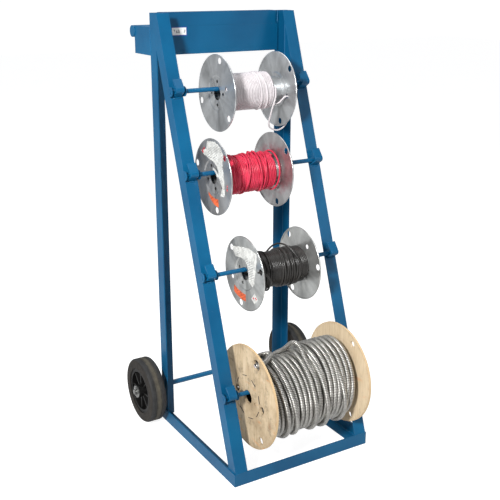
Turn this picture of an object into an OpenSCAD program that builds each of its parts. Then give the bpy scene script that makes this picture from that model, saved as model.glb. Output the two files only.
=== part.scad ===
// Wire-reel cart: a welded angle-iron frame on two rear wheels. Four lift-out rods lie in strap hooks
// on the slanted front uprights and carry three steel wire spools and one plywood cable reel.
// Millimetres. +Z is up, the front is towards -Y, the rods and the axle run along X.

/* [Frame] */
// Height of the uprights above the floor
frame_height = 1252; // [1100:1:1400]
// Width over the base rails
base_width = 457.2; // [420:0.1:500]
// Length of the base side rails, front to back
base_depth = 466; // [440:1:520]
// Leg of the steel angle
angle_leg = 38.1; // [30:0.1:45]
// Thickness of the steel angle and of the flat panel
angle_wall = 3.2; // [2:0.1:5]
// Fillet radius inside the corner of the steel angle
root_radius = 3; // [1:0.5:4]
// How far back the front face of the slanted uprights is at the top
slant_run = 421; // [400:1:424]
// Height of the flat cross panel
panel_height = 78.4; // [50:0.1:120]
// Distance from the front of the frame to the face of the cross panel
panel_front = 459.6; // [450:0.1:459.6]

/* [Handle] */
// Outside diameter of the handle tube
handle_diameter = 33.4; // [25:0.1:40]
// Wall of the handle tube
handle_wall = 3.4; // [2:0.1:5]
// Thickness of the handle arms
arm_thickness = 4.8; // [3:0.1:8]
// How far the arms reach behind the uprights
arm_reach = 100.5; // [80:0.5:140]
// Height of the handle arms
arm_height = 78; // [50:1:100]

/* [Rods and hooks] */
// Diameter of the spool rods
rod_diameter = 12.7; // [10:0.1:16]
// Distance of each rod up the slanted face: bottom, lower, upper, top
rod_stations = [214.8, 552.8, 833.8, 1065.5]; // [200:0.1:1100]
// Thickness of the hook strap
strap_thickness = 4.8; // [3:0.1:6]
// Width of the hook strap
strap_width = 25.4; // [19:0.1:32]
// Length of the hook's straight front leg
hook_tip_length = 28.9; // [20:0.1:32]
// Diameter of the rod collars
collar_diameter = 28; // [22:0.5:34]
// Thickness of the rod collars
collar_thickness = 3.2; // [2:0.1:6]

/* [Wheels] */
// Wheel diameter over the tyre
wheel_diameter = 203.2; // [180:0.1:230]
// Width of the tyre
tyre_width = 50; // [40:1:60]
// Diameter of the hub's rim, where the tyre sits
rim_diameter = 144; // [120:1:160]
// Axle diameter
axle_diameter = 15.88; // [12:0.01:20]
// Length of the axle
axle_length = 628; // [600:1:700]
// Distance from the front of the frame to the axle
axle_back = 485; // [480:1:495]
// Length of the wheel hub
hub_length = 62; // [50:1:70]

/* [Steel spools] */
// Diameter of the steel spool flanges
spool_diameter = 216; // [180:1:216]
// Diameter of the bore in the spool flanges
spool_bore = 38.1; // [30:0.1:50]
// Diameter of the spool drums
drum_diameter = 76; // [60:1:90]
// Thickness of the flange sheet
sheet = 1.2; // [0.8:0.1:2]
// Diameter of the wire
wire_diameter = 5; // [3:0.5:6]

/* [Cable reel] */
// Diameter of the plywood flanges
reel_diameter = 300; // [250:1:300]
// Thickness of the plywood flanges
ply = 6.5; // [6:0.5:12]
// Diameter of the reel's bore
reel_bore = 40; // [30:1:60]
// Diameter of the reel's drum
reel_drum_diameter = 126; // [120:1:160]
// Diameter of the armoured cable
cable_diameter = 14; // [10:0.5:16]
// Diameter of the cable winding
cable_winding_diameter = 224; // [180:1:230]

/* [Hidden] */

paint = [0.12, 0.37, 0.57];
steel = [0.72, 0.73, 0.74];
plywood = [0.84, 0.74, 0.58];
paper = [0.92, 0.92, 0.90];

upright_x = base_width / 2 - angle_wall;           // outer faces of all four uprights
upright_foot = angle_wall + root_radius;           // the uprights stand above the rail's fillet
slant_rise = frame_height - angle_leg;
slant = atan2(slant_run, slant_rise);
slant_length = norm([slant_run, slant_rise]);
rod_r = rod_diameter / 2;
rod_gap = 0.3;                                     // between a resting rod and what it lies on
rod_off = rod_r + rod_gap;                         // rod centre in front of the slanted face
rod_left = -(upright_x + 4.6);
rod_right = upright_x - 4.4;
strap_x = upright_x - 19.05;                       // middle of each hook strap
lower_lean = 14;                                   // the hook's lower leg rises to the front
tip_lean = 19;                                     // its front leg leans back to the upright
bend_inner = 5.2;
bend_outer = bend_inner + strap_thickness;
hook_reach = 12.87;                                // rod centre to bend centre, along the lower leg
bend_steps = 12;

// Rear-most and front-most points, which put the part's middle on the origin.
tube_back = base_depth + arm_reach + handle_diameter / 2;
tube_z = frame_height - 55.1;
tube_r = handle_diameter / 2;
tube_end = upright_x + 0.8;
cap_thickness = 2;
arm_bottom = frame_height - 116.5;
reel_axis = hang_axis(rod_stations[0], reel_bore);
front_most = reel_axis[0] - reel_diameter / 2;
mid_y = (tube_back + tube_r + front_most) / 2;

axle_r = axle_diameter / 2;
axle_z = wheel_diameter / 2;
running = 0.05;                                    // radial clearance of a running fit
plain_bore = axle_r + 0.1;
bracket_thickness = 6.35;
spacer_start = upright_x + 0.4;
hub_start = 241;
washer_start = hub_start + hub_length + 0.3;
washer_thickness = 3;
pin_x = 309;
pin_r = 1.6;
hub_r = rim_diameter / 2;

white_span = [-84.4, 117.6];                       // rim planes of each spool, along X
red_span = [-141.2, 59.5];
black_span = [-94.7, 95.4];
reel_span = [-148.7, 168.6];
spool_r = spool_diameter / 2;
bead = 2;
dish = 4.2;                                        // flange centre inside its rim plane
step_depth = 3;
step_inner = 46;
step_outer = 50;
rim_hole = [93, 9];                                // ring radius and hole radius
small_hole = [33, 5];
exit_hole_r = 6.5;
cable_end = [122, 112];                            // ring radius and angle where the cable ends
staple_ring = reel_drum_diameter / 2 - 2;
label_thickness = 0.3;

$fn = 72;

// Y and Z, from the front of the frame and the floor, of a bore that hangs on a rod.
function rod_axis(s) = [
    s * sin(slant) - rod_off * cos(slant),
    angle_leg + s * cos(slant) + rod_off * sin(slant)];
function hang_axis(s, bore) = rod_axis(s) - [0, bore / 2 - rod_r - rod_gap];

// From the frame's own corner to the part's origin.
module frame_place() { translate([0, -mid_y, 0]) children(); }
// X, depth behind the slanted front face, and distance up it.
module on_slant() { frame_place() translate([0, 0, angle_leg]) rotate([-slant, 0, 0]) children(); }
module at_axis(a) { frame_place() translate([0, a[0], a[1]]) children(); }
// Polar place about an axis along X: 0 is the rear, 90 is up, 180 is the front.
module polar(ring, angle) { translate([0, ring * cos(angle), ring * sin(angle)]) children(); }
module x_cylinder(r, x0, x1) { translate([x0, 0, 0]) rotate([0, 90, 0]) cylinder(r = r, h = x1 - x0); }
module x_tube(r, bore_r, x0, x1) {
    difference() {
        x_cylinder(r, x0, x1);
        x_cylinder(bore_r, x0 - 1, x1 + 1);
    }
}
module x_revolve(points) { rotate([0, 90, 0]) rotate_extrude() polygon(points); }
module both_sides() {
    children();
    mirror([1, 0, 0]) children();
}

module angle_section() {
    difference() {
        square(angle_leg);
        translate([angle_wall + root_radius, angle_wall]) square(angle_leg);
        translate([angle_wall, angle_wall + root_radius]) square(angle_leg);
        translate([angle_wall + root_radius, angle_wall + root_radius]) circle(r = root_radius);
    }
}

// ---- frame ----
module base_front_rail() {
    half = base_width / 2;
    color(paint) frame_place() intersection() {
        translate([-half, 0, 0]) rotate([90, 0, 90]) linear_extrude(base_width) angle_section();
        linear_extrude(angle_leg) polygon([
            [-half, 0], [half, 0], [half - angle_leg, angle_leg], [angle_leg - half, angle_leg]]);
    }
}
module side_rail() {
    half = base_width / 2;
    color(paint) frame_place() intersection() {
        translate([-half, base_depth, 0]) rotate([90, 0, 0]) linear_extrude(base_depth) angle_section();
        linear_extrude(angle_leg) polygon([
            [-half, 0], [angle_leg - half, angle_leg], [angle_leg - half, base_depth], [-half, base_depth]]);
    }
}
module base_left_rail() { side_rail(); }
module base_right_rail() { mirror([1, 0, 0]) side_rail(); }

module rear_upright() {
    color(paint) frame_place() translate([-upright_x, base_depth, upright_foot])
        linear_extrude(frame_height - upright_foot) mirror([0, 1, 0]) angle_section();
}
module rear_left_upright() { rear_upright(); }
module rear_right_upright() { mirror([1, 0, 0]) rear_upright(); }

module front_upright() {
    spare = 60;
    big = 300;
    rear_front_edge = base_depth - angle_leg;
    color(paint) difference() {
        on_slant() translate([-upright_x, 0, -spare])
            linear_extrude(slant_length + 2 * spare) angle_section();
        frame_place() {
            translate([-big, -big, -big]) cube([2 * big, 2 * big, big + upright_foot]);
            translate([-big, -big, -big]) cube([2 * big, big + angle_wall, big + angle_leg]);
            translate([-big, 0, frame_height]) cube([2 * big, 2 * big, big]);
            translate([-big, rear_front_edge - 0.3, 0]) cube([2 * big, big, frame_height + big]);
        }
    }
}
module front_left_upright() { front_upright(); }
module front_right_upright() { mirror([1, 0, 0]) front_upright(); }

module top_cross_member() {
    half = upright_x - angle_leg - 0.3;
    color(paint) frame_place() translate([-half, panel_front, frame_height])
        rotate([90, 0, 90]) linear_extrude(2 * half) mirror([0, 1, 0]) angle_section();
}
module cross_panel() {
    half = upright_x - angle_leg + 6.7;
    color(paint) frame_place()
        translate([-half, panel_front, frame_height - angle_leg - panel_height])
        cube([2 * half, angle_wall, panel_height]);
}
module frame_label() {
    size = [50, 0.4, 25];
    color(paper) frame_place() translate([-163, panel_front - size[1], frame_height - 65]) cube(size);
}

// ---- handle ----
module handle_arm() {
    color(paint) frame_place() difference() {
        translate([-upright_x, base_depth, arm_bottom])
            cube([arm_thickness, arm_reach + 6, arm_height]);
        translate([0, tube_back, tube_z]) x_cylinder(tube_r, -tube_end, tube_end);
    }
}
module handle_left_arm() { handle_arm(); }
module handle_right_arm() { mirror([1, 0, 0]) handle_arm(); }
module handle_tube() {
    color(paint) at_axis([tube_back, tube_z]) x_tube(tube_r, tube_r - handle_wall, -tube_end, tube_end);
}
module handle_end_caps() {
    color(paint) at_axis([tube_back, tube_z]) both_sides()
        x_cylinder(tube_r, tube_end, tube_end + cap_thickness);
}

// ---- hooks ----
// Section of the strap: x is the distance in front of the slanted face, y the distance up it,
// both from the rod's centre. One outline: foot, outside of the bend, tip, inside of the bend, foot.
module hook_section() {
    along = [cos(lower_lean), sin(lower_lean)];
    down = [sin(lower_lean), -cos(lower_lean)];
    up = [-sin(tip_lean), cos(tip_lean)];
    bend = hook_reach * along + (rod_r + rod_gap - bend_inner) * down;
    turn = 90 - lower_lean + tip_lean;
    outside = [for (k = [0:bend_steps]) let (a = lower_lean - 90 + turn * k / bend_steps)
        bend + bend_outer * [cos(a), sin(a)]];
    inside = [for (k = [bend_steps:-1:0]) let (a = lower_lean - 90 + turn * k / bend_steps)
        bend + bend_inner * [cos(a), sin(a)]];
    far = outside[0];
    near = inside[bend_steps];
    polygon(concat(
        [far - (far[0] + rod_off) / along[0] * along], outside,
        [outside[bend_steps] + hook_tip_length * up, inside[0] + hook_tip_length * up], inside,
        [near - (near[0] + rod_off) / along[0] * along]));
}
module rod_hooks(station) {
    color(paint) both_sides() on_slant()
        translate([strap_x - strap_width / 2, -rod_off, station])
        mirror([0, 1, 0]) rotate([90, 0, 90]) linear_extrude(strap_width) hook_section();
}
module bottom_rod_hooks() { rod_hooks(rod_stations[0]); }
module lower_rod_hooks() { rod_hooks(rod_stations[1]); }
module upper_rod_hooks() { rod_hooks(rod_stations[2]); }
module top_rod_hooks() { rod_hooks(rod_stations[3]); }

// ---- axle and wheels ----
module axle_brackets() {
    depth = 38;
    color(paint) both_sides() at_axis([axle_back, axle_z]) difference() {
        translate([upright_x - bracket_thickness, base_depth - axle_back, -depth / 2])
            cube([bracket_thickness, depth, depth]);
        x_cylinder(axle_r, upright_x - 20, upright_x + 20);
    }
}
module axle() {
    color(steel) at_axis([axle_back, axle_z]) difference() {
        x_cylinder(axle_r, -axle_length / 2, axle_length / 2);
        both_sides() translate([pin_x, 0, -20]) cylinder(r = pin_r + 0.1, h = 40, $fn = 24);
    }
}
module axle_spacers() {
    color(steel) both_sides() at_axis([axle_back, axle_z])
        x_tube(12.7, plain_bore, spacer_start, hub_start - 0.3);
}
module axle_washers() {
    color(steel) both_sides() at_axis([axle_back, axle_z])
        x_tube(19.5, plain_bore, washer_start, washer_start + washer_thickness);
}
// A straight stem through the axle, with an eye on top.
module cotter_pins() {
    stem = 13;
    eye = 3.4;
    color(steel) both_sides() at_axis([axle_back, axle_z]) translate([pin_x, 0, 0]) {
        translate([0, 0, -stem]) cylinder(r = pin_r, h = 2 * stem, $fn = 24);
        translate([0, 0, stem + eye]) rotate([0, 90, 0])
            rotate_extrude($fn = 36) translate([eye, 0]) circle(r = pin_r, $fn = 16);
    }
}

module tyre() {
    middle = hub_start + hub_length / 2;
    half = tyre_width / 2;
    outer = wheel_diameter / 2;
    shoulder = 9;
    groove = 2;
    color([0.16, 0.15, 0.14]) at_axis([axle_back, axle_z]) translate([middle, 0, 0])
        rotate([0, 90, 0]) rotate_extrude() difference() {
            union() {
                translate([hub_r, -half]) square([outer - hub_r - shoulder, tyre_width]);
                translate([hub_r, -half + shoulder]) square([outer - hub_r, tyre_width - 2 * shoulder]);
                for (side = [-1, 1]) translate([outer - shoulder, side * (half - shoulder)])
                    circle(r = shoulder, $fn = 40);
            }
            for (side = [-1, 1]) translate([outer, side * 8]) circle(r = groove, $fn = 16);
        }
}
// Ribbed wheel centre: rim band, web, boss and eight ribs on each side.
module hub() {
    middle = hub_start + hub_length / 2;
    band = 44;
    web = 8;
    boss = 19;
    band_inner = 61;
    rib = 5;
    bush = axle_r + 3.5;
    color([0.08, 0.08, 0.08]) at_axis([axle_back, axle_z]) translate([middle, 0, 0]) difference() {
        union() {
            x_tube(hub_r, band_inner, -band / 2, band / 2);
            x_cylinder(band_inner + 1, -web / 2, web / 2);
            x_cylinder(boss, -hub_length / 2, hub_length / 2);
            for (a = [0:45:315]) rotate([a, 0, 0])
                translate([-band / 2 + 4, -rib / 2, boss - 2]) cube([band - 8, rib, band_inner - boss + 3]);
        }
        x_cylinder(bush, -hub_length, hub_length);
    }
}
module bushing() {
    middle = hub_start + hub_length / 2;
    color(steel) at_axis([axle_back, axle_z]) translate([middle, 0, 0])
        x_tube(axle_r + 3.5, axle_r + running, -hub_length / 2, hub_length / 2);
}
module right_tyre() { tyre(); }
module right_hub() { hub(); }
module right_bushing() { bushing(); }
module left_tyre() { mirror([1, 0, 0]) tyre(); }
module left_hub() { mirror([1, 0, 0]) hub(); }
module left_bushing() { mirror([1, 0, 0]) bushing(); }

// ---- rods ----
module rod(station) {
    color(paint) at_axis(rod_axis(station)) x_cylinder(rod_r, rod_left, rod_right);
}
// One collar outside the left upright and one inside it keep the rod from sliding out.
module rod_collars(station) {
    outside = -upright_x - 0.5;
    inside = -upright_x + angle_leg + 0.5;
    color(paint) at_axis(rod_axis(station)) {
        x_tube(collar_diameter / 2, rod_r, outside - collar_thickness, outside);
        x_tube(collar_diameter / 2, rod_r, inside, inside + collar_thickness);
    }
}
module bottom_rod() { rod(rod_stations[0]); }
module bottom_rod_collars() { rod_collars(rod_stations[0]); }
module lower_rod() { rod(rod_stations[1]); }
module lower_rod_collars() { rod_collars(rod_stations[1]); }
module upper_rod() { rod(rod_stations[2]); }
module upper_rod_collars() { rod_collars(rod_stations[2]); }
module top_rod() { rod(rod_stations[3]); }
module top_rod_collars() { rod_collars(rod_stations[3]); }

// ---- steel spools ----
// Depth of the flange's outer skin inside the rim plane, at a radius on the dish.
function skin(r) = (dish - sheet - step_depth) * (spool_r - bead - 2.5 - r)
    / (spool_r - bead - 2.5 - step_outer) + 0.6;
module flange_blank() {
    edge = spool_r - bead;
    x_revolve([
        [spool_bore / 2, dish - sheet], [step_inner, dish - sheet], [step_outer, skin(step_outer)],
        [edge, skin(edge - 2.5)], [edge, skin(edge - 2.5) + sheet],
        [step_outer, skin(step_outer) + sheet], [step_inner, dish], [spool_bore / 2, dish]]);
    rotate([0, 90, 0]) rotate_extrude() translate([edge, bead]) circle(r = bead, $fn = 16);
}
// rim and small are the angles of the first hole of each kind, exit the exit hole's ring and angle.
module flange(rim, small, exit) {
    difference() {
        flange_blank();
        for (k = [0:2]) polar(rim_hole[0], rim + 120 * k) x_cylinder(rim_hole[1], -1, dish + 1, $fn = 32);
        for (k = [0:3]) polar(small_hole[0], small + 90 * k)
            x_cylinder(small_hole[1], -1, dish + 1, $fn = 24);
        polar(exit[0], exit[1]) x_cylinder(exit_hole_r, -1, dish + 1, $fn = 32);
    }
}
module left_flange(station, span, rim, small, exit) {
    color(steel) at_axis(hang_axis(station, spool_bore)) translate([span[0], 0, 0]) flange(rim, small, exit);
}
module right_flange(station, span, rim, small, exit) {
    color(steel) at_axis(hang_axis(station, spool_bore)) translate([span[1], 0, 0])
        mirror([1, 0, 0]) flange(rim, small, exit);
}
module drum(station, span) {
    color(steel) at_axis(hang_axis(station, spool_bore))
        x_tube(drum_diameter / 2, drum_diameter / 2 - 1, span[0] + dish, span[1] - dish);
}
// The wound wire as one sleeve on the drum.
module winding(station, r, x0, x1) {
    at_axis(hang_axis(station, spool_bore)) x_tube(r, drum_diameter / 2, x0, x1);
}
// A label on the dished outside of a left flange, between two radii and two angles.
module label(station, span, r0, r1, a0, a1) {
    middle = (a0 + a1) / 2;
    half = (a1 - a0) / 2;
    at_axis(hang_axis(station, spool_bore)) translate([span[0], 0, 0]) intersection() {
        x_revolve([
            [r0, skin(r0) - label_thickness], [r1, skin(r1) - label_thickness],
            [r1, skin(r1)], [r0, skin(r0)]]);
        rotate([90, 0, 90]) rotate([0, 0, middle]) linear_extrude(2 * dish, center = true)
            polygon([for (k = [0:8]) let (a = -half + half * k / 4) 2 * spool_r * [cos(a), sin(a)], [0, 0]]);
    }
}

module white_left_flange() { left_flange(rod_stations[3], white_span, 102, 90, [57, 162]); }
module white_right_flange() { right_flange(rod_stations[3], white_span, 17, 90, [58, 196]); }
module white_drum() { drum(rod_stations[3], white_span); }
module white_winding() {
    color([0.90, 0.88, 0.86]) winding(rod_stations[3], 53.5, white_span[0] + dish + 0.5, 81);
}
module red_left_flange() { left_flange(rod_stations[2], red_span, 136, 70, [58, 200]); }
module red_right_flange() { right_flange(rod_stations[2], red_span, 16, 70, [58, 40]); }
module red_drum() { drum(rod_stations[2], red_span); }
module red_winding() {
    color([0.82, 0.18, 0.28])
        winding(rod_stations[2], 53.5, red_span[0] + dish + 0.5, red_span[1] - dish - 0.5);
}
module red_labels() {
    color(paper) label(rod_stations[2], red_span, 56, 100, 38, 215);
    color([0.9, 0.4, 0.15]) label(rod_stations[2], red_span, 60, 84, 250, 304);
    color([0.85, 0.2, 0.2]) label(rod_stations[2], red_span, 74, 90, 222, 238);
}
module black_left_flange() { left_flange(rod_stations[1], black_span, 41, 23, [70, 338]); }
module black_right_flange() { right_flange(rod_stations[1], black_span, 52, 23, [70, 122]); }
module black_drum() { drum(rod_stations[1], black_span); }
module black_winding() {
    color([0.14, 0.13, 0.13])
        winding(rod_stations[1], 52, black_span[0] + dish + 0.5, black_span[1] - dish - 0.5);
}
module black_labels() {
    color(paper) label(rod_stations[1], black_span, 54, 82, 44, 212);
    color([0.9, 0.4, 0.15]) label(rod_stations[1], black_span, 66, 89, 288, 318);
    color([0.85, 0.2, 0.2]) label(rod_stations[1], black_span, 69, 88, 218, 240);
}

// ---- plywood cable reel ----
module reel_flange(holes) {
    color(plywood) difference() {
        x_cylinder(reel_diameter / 2, 0, ply, $fn = 120);
        x_cylinder(reel_bore / 2, -1, ply + 1);
        for (hole = holes) polar(hole[0], hole[1]) x_cylinder(hole[2], -1, ply + 1, $fn = 32);
    }
}
module reel_left_flange() {
    at_axis(reel_axis) translate([reel_span[0], 0, 0])
        reel_flange([[123, 112, 15.5], [76, 187, 11], [56.5, 5, 10.5], [126.5, 237, 11], [37, 191, 5]]);
}
module reel_right_flange() {
    at_axis(reel_axis) translate([reel_span[1] - ply, 0, 0])
        reel_flange([[130, 120, 9], [130, 240, 9], [130, 0, 9]]);
}
module reel_drum() {
    color(plywood) at_axis(reel_axis)
        x_tube(reel_drum_diameter / 2, reel_drum_diameter / 2 - 4, reel_span[0] + ply, reel_span[1] - ply);
}
// A group of slack turns as one ring that rests on top of the drum and hangs below it by sag.
module slack_turns(x0, x1, r, sag) {
    translate([0, 0, -sag]) x_tube(r, reel_drum_diameter / 2 + sag + 2, x0, x1);
}
// The winding is one sleeve, thicker to the right, with slack turns that hang below it. The cable's
// end comes out through the left flange.
module reel_cable() {
    start = reel_span[0] + ply + 2;
    finish = reel_span[1] - ply - 12;
    inner = reel_drum_diameter / 2;
    outer = cable_winding_diameter / 2;
    thin = outer - cable_diameter;
    cable_r = cable_diameter / 2;
    elbow = start + cable_r + 1;
    color([0.66, 0.65, 0.63]) at_axis(reel_axis) {
        x_revolve([
            [inner, start], [thin, start], [thin, -20], [outer, 70], [outer, finish], [inner, finish]]);
        slack_turns(-84, 62, 119, 22);
        slack_turns(92, 131, 119, 20);
        rotate([cable_end[1], 0, 0]) {
            translate([elbow, inner + 5, 0]) rotate([-90, 0, 0])
                cylinder(r = cable_r, h = cable_end[0] - inner - 5, $fn = 32);
            translate([elbow, cable_end[0], 0]) sphere(r = cable_r, $fn = 32);
            translate([0, cable_end[0], 0]) x_cylinder(cable_r, reel_span[0] - 4, elbow, $fn = 32);
        }
    }
}
// Wire staples that hold each flange to the drum, eight on each outside face.
module reel_staples() {
    crown = [1, 22, 1.6];
    color(steel) at_axis(reel_axis) for (k = [0:7]) {
        for (x = [reel_span[0] - crown[0], reel_span[1]])
            rotate([30 + 45 * k, 0, 0]) translate([x, -crown[1] / 2, staple_ring]) cube(crown);
    }
}

// ---- loose wire ----
// Route points in millimetres from the frame's front and the floor.
loop_route = [
    [77.5, 289, 1050], [77.8, 287.4, 1042.5], [77.8, 286.7, 1034.5], [77.6, 286.7, 1021.5],
    [74.5, 287.8, 1007], [71, 291, 992.5], [69, 295, 977.5], [68.5, 300, 964], [68.2, 305, 951],
    [69, 309, 939.5], [74.5, 312, 930], [87, 314, 922.5], [102, 314, 919], [114.5, 314, 922],
    [124, 313, 928], [130, 311, 937], [132, 307, 950], [132, 302, 966], [131, 297, 983],
    [129, 292, 999], [125.5, 288.5, 1011], [120, 287, 1018], [113, 287.1, 1018.6], [104.5, 289, 1012.5],
    [95.5, 293.5, 1004.5], [87, 299, 998], [79, 303, 994.5]];
tail_route = [
    [-37, 124.6, 525.5], [-41, 116, 530.5], [-46, 108.5, 538], [-53, 102, 547], [-62, 96.5, 557],
    [-71.5, 92, 566], [-81, 89, 573.5], [-90, 87.8, 578.8], [-97, 87.8, 580.5], [-103, 88, 580.5]];
strand_sides = 12;
strand_steps = 2;

function at_end(i, n) = max(0, min(n - 1, i));
function smooth(p, i, t) =
    let (n = len(p), a = p[at_end(i - 1, n)], b = p[i], c = p[at_end(i + 1, n)], d = p[at_end(i + 2, n)])
    0.5 * (2 * b + (c - a) * t + (2 * a - 5 * b + 4 * c - d) * t * t + (3 * b - a - 3 * c + d) * t * t * t);
function line_of(p) = [for (i = [0:len(p) - 2], k = [0:strand_steps - 1]) smooth(p, i, k / strand_steps),
    p[len(p) - 1]];
function unit(v) = v / norm(v);
// A closed tube along a route. side is a direction that the route never follows.
module strand(route, side) {
    line = line_of(route);
    n = len(line);
    points = [for (i = [0:n - 1])
        let (t = unit(line[at_end(i + 1, n)] - line[at_end(i - 1, n)]))
        let (u = unit(cross(t, side)), v = cross(t, u))
        for (k = [0:strand_sides - 1]) let (a = 360 * k / strand_sides)
        line[i] + wire_diameter / 2 * (cos(a) * u + sin(a) * v)];
    walls = [for (i = [0:n - 2], k = [0:strand_sides - 1])
        let (a = i * strand_sides, b = a + strand_sides, m = (k + 1) % strand_sides)
        [a + k, a + m, b + m, b + k]];
    ends = [
        [for (k = [strand_sides - 1:-1:0]) k],
        [for (k = [0:strand_sides - 1]) (n - 1) * strand_sides + k]];
    polyhedron(points, concat(walls, ends));
}
module white_wire_loop() { color([0.90, 0.88, 0.86]) frame_place() strand(loop_route, [0, 1, 0]); }
module black_wire_tail() { color([0.14, 0.13, 0.13]) frame_place() strand(tail_route, [0, 0, 1]); }

base_front_rail();
base_left_rail();
base_right_rail();
rear_left_upright();
rear_right_upright();
front_left_upright();
front_right_upright();
top_cross_member();
cross_panel();
frame_label();
handle_left_arm();
handle_right_arm();
handle_tube();
handle_end_caps();
bottom_rod_hooks();
lower_rod_hooks();
upper_rod_hooks();
top_rod_hooks();
axle_brackets();
axle();
axle_spacers();
axle_washers();
cotter_pins();
left_tyre();
left_hub();
left_bushing();
right_tyre();
right_hub();
right_bushing();
bottom_rod();
bottom_rod_collars();
lower_rod();
lower_rod_collars();
upper_rod();
upper_rod_collars();
top_rod();
top_rod_collars();
white_left_flange();
white_right_flange();
white_drum();
white_winding();
white_wire_loop();
red_left_flange();
red_right_flange();
red_drum();
red_winding();
red_labels();
black_left_flange();
black_right_flange();
black_drum();
black_winding();
black_labels();
black_wire_tail();
reel_left_flange();
reel_right_flange();
reel_drum();
reel_cable();
reel_staples();
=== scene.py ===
import math
import random

import bmesh
import bpy
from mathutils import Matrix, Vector, noise


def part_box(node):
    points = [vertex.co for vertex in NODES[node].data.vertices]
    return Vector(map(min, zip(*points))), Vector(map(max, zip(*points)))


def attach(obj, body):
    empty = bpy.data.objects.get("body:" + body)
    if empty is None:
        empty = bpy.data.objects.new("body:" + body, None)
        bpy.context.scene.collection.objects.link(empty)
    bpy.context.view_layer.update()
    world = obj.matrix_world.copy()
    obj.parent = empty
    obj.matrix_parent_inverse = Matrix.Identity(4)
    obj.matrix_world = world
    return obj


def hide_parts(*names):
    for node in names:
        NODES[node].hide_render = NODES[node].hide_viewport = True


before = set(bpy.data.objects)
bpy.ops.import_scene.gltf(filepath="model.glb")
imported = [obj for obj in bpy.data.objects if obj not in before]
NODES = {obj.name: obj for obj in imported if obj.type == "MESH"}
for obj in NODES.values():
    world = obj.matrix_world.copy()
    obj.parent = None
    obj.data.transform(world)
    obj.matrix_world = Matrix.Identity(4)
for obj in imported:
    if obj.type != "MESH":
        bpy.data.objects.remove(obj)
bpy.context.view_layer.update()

MM = 0.001
MID = 0.257  # the frame's front face lies this far in front of the origin
FRAME_HEIGHT = 1252.0
ANGLE_LEG = 38.1
SLANT_RUN = 421.0  # how far back the slanted uprights lean, millimetres
SLANT = math.atan2(SLANT_RUN, FRAME_HEIGHT - ANGLE_LEG)
SIN, COS = math.sin(SLANT), math.cos(SLANT)
WIRE = 0.005  # diameter of the loose wires


def cart(x, y, z):
    """Millimetres from the frame's front face and the floor, to the row frame in metres."""
    return Vector((x * MM, y * MM - MID, z * MM))


def on_face(x, off, s):
    """x, off in front of the slanted face and s up it, in millimetres."""
    return cart(x, s * SIN - off * COS, ANGLE_LEG + s * COS + off * SIN)


def axis_of(node):
    lo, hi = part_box(node)
    return (lo.y + hi.y) / 2, (lo.z + hi.z) / 2


# ---------------------------------------------------------------- mesh helpers
def spline(points, steps):
    """A smooth line through the points."""
    p = [Vector(q) for q in points]
    out = []
    for i in range(len(p) - 1):
        a, b, c, d = p[max(i - 1, 0)], p[i], p[i + 1], p[min(i + 2, len(p) - 1)]
        for k in range(steps):
            t = k / steps
            out.append(
                0.5
                * (
                    2 * b
                    + (c - a) * t
                    + (2 * a - 5 * b + 4 * c - d) * t * t
                    + (3 * b - a - 3 * c + d) * t**3
                )
            )
    out.append(p[-1])
    return out


def length_of(points):
    return sum((b - a).length for a, b in zip(points, points[1:]))


def sweep(points, radii, sides, flat=1.0, up=None):
    """Verts, faces and UVs of a tube. radii is one number or one for each point."""
    n = len(points)
    if not hasattr(radii, "__len__"):
        radii = [radii] * n
    verts, faces, uvs = [], [], []
    tangent = (points[1] - points[0]).normalized()
    side = up or (Vector((0, 0, 1)) if abs(tangent.z) < 0.9 else Vector((0, 1, 0)))
    u = (side - side.dot(tangent) * tangent).normalized()
    run = 0.0
    lengths = []
    for i in range(n):
        t = (points[min(i + 1, n - 1)] - points[max(i - 1, 0)]).normalized()
        u = (u - u.dot(t) * t).normalized()
        v = t.cross(u)
        if i:
            run += (points[i] - points[i - 1]).length
        lengths.append(run)
        for k in range(sides):
            a = 2 * math.pi * k / sides
            verts.append(points[i] + radii[i] * (math.cos(a) * u + flat * math.sin(a) * v))
    for i in range(n - 1):
        for k in range(sides):
            m = (k + 1) % sides
            faces.append((i * sides + k, i * sides + m, (i + 1) * sides + m, (i + 1) * sides + k))
            uvs.append([(lengths[i], k / sides), (lengths[i], (k + 1) / sides),
                        (lengths[i + 1], (k + 1) / sides), (lengths[i + 1], k / sides)])
    for ring, order in ((0, range(sides - 1, -1, -1)), (n - 1, range(sides))):
        faces.append(tuple(ring * sides + k for k in order))
        uvs.append([(lengths[ring], 0.5)] * sides)
    return verts, faces, uvs


def on_circle(axis, x, r, a):
    """The point at x on a circle about an X axis through (y, z)."""
    return Vector((x, axis[0] + r * math.cos(a), axis[1] + r * math.sin(a)))


def revolve(profile, axis):
    """Verts and faces of a closed outline of (radius, x) points turned about an X axis."""
    segments = 64
    verts, faces = [], []
    n = len(profile)
    for s in range(segments):
        for r, x in profile:
            verts.append(on_circle(axis, x, r, 2 * math.pi * s / segments))
        t = (s + 1) % segments
        for k in range(n):
            m = (k + 1) % n
            faces.append((s * n + k, t * n + k, t * n + m, s * n + m))
    return verts, faces


def add_object(name, data):
    obj = bpy.data.objects.new(name, data)
    bpy.context.scene.collection.objects.link(obj)
    return obj


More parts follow.
